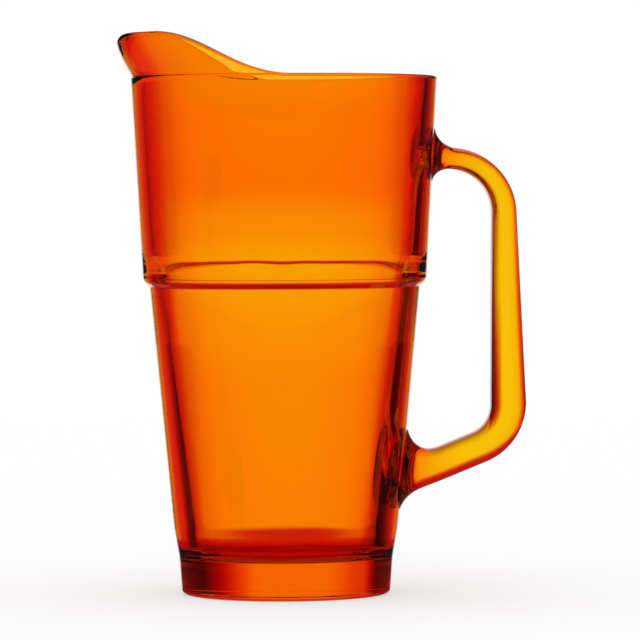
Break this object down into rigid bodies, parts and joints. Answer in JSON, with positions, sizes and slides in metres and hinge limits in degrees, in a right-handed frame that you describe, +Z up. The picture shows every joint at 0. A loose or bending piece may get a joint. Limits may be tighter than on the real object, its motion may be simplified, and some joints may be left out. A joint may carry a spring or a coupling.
{
  "type": "beer pitcher",
  "caption": "Amber glass beer pitcher: thick base, tapered body with a stacking shoulder, tall pouring lip and a strap handle fused to the wall.",
  "frame": {"origin": "centre of the ring that the pitcher stands on, in the plane of the table", "axes": "+Z up along the body's axis, +X towards the handle, -X towards the pouring lip"},
  "size_m": [0.1774, 0.1328, 0.2425],
  "materials": {
    "vessel_glass": "gloss",
    "handle_glass": "gloss"
  },
  "bodies": {
    "root": {"vessel": "vessel_glass", "handle": "handle_glass"}
  },
  "joints": []
}
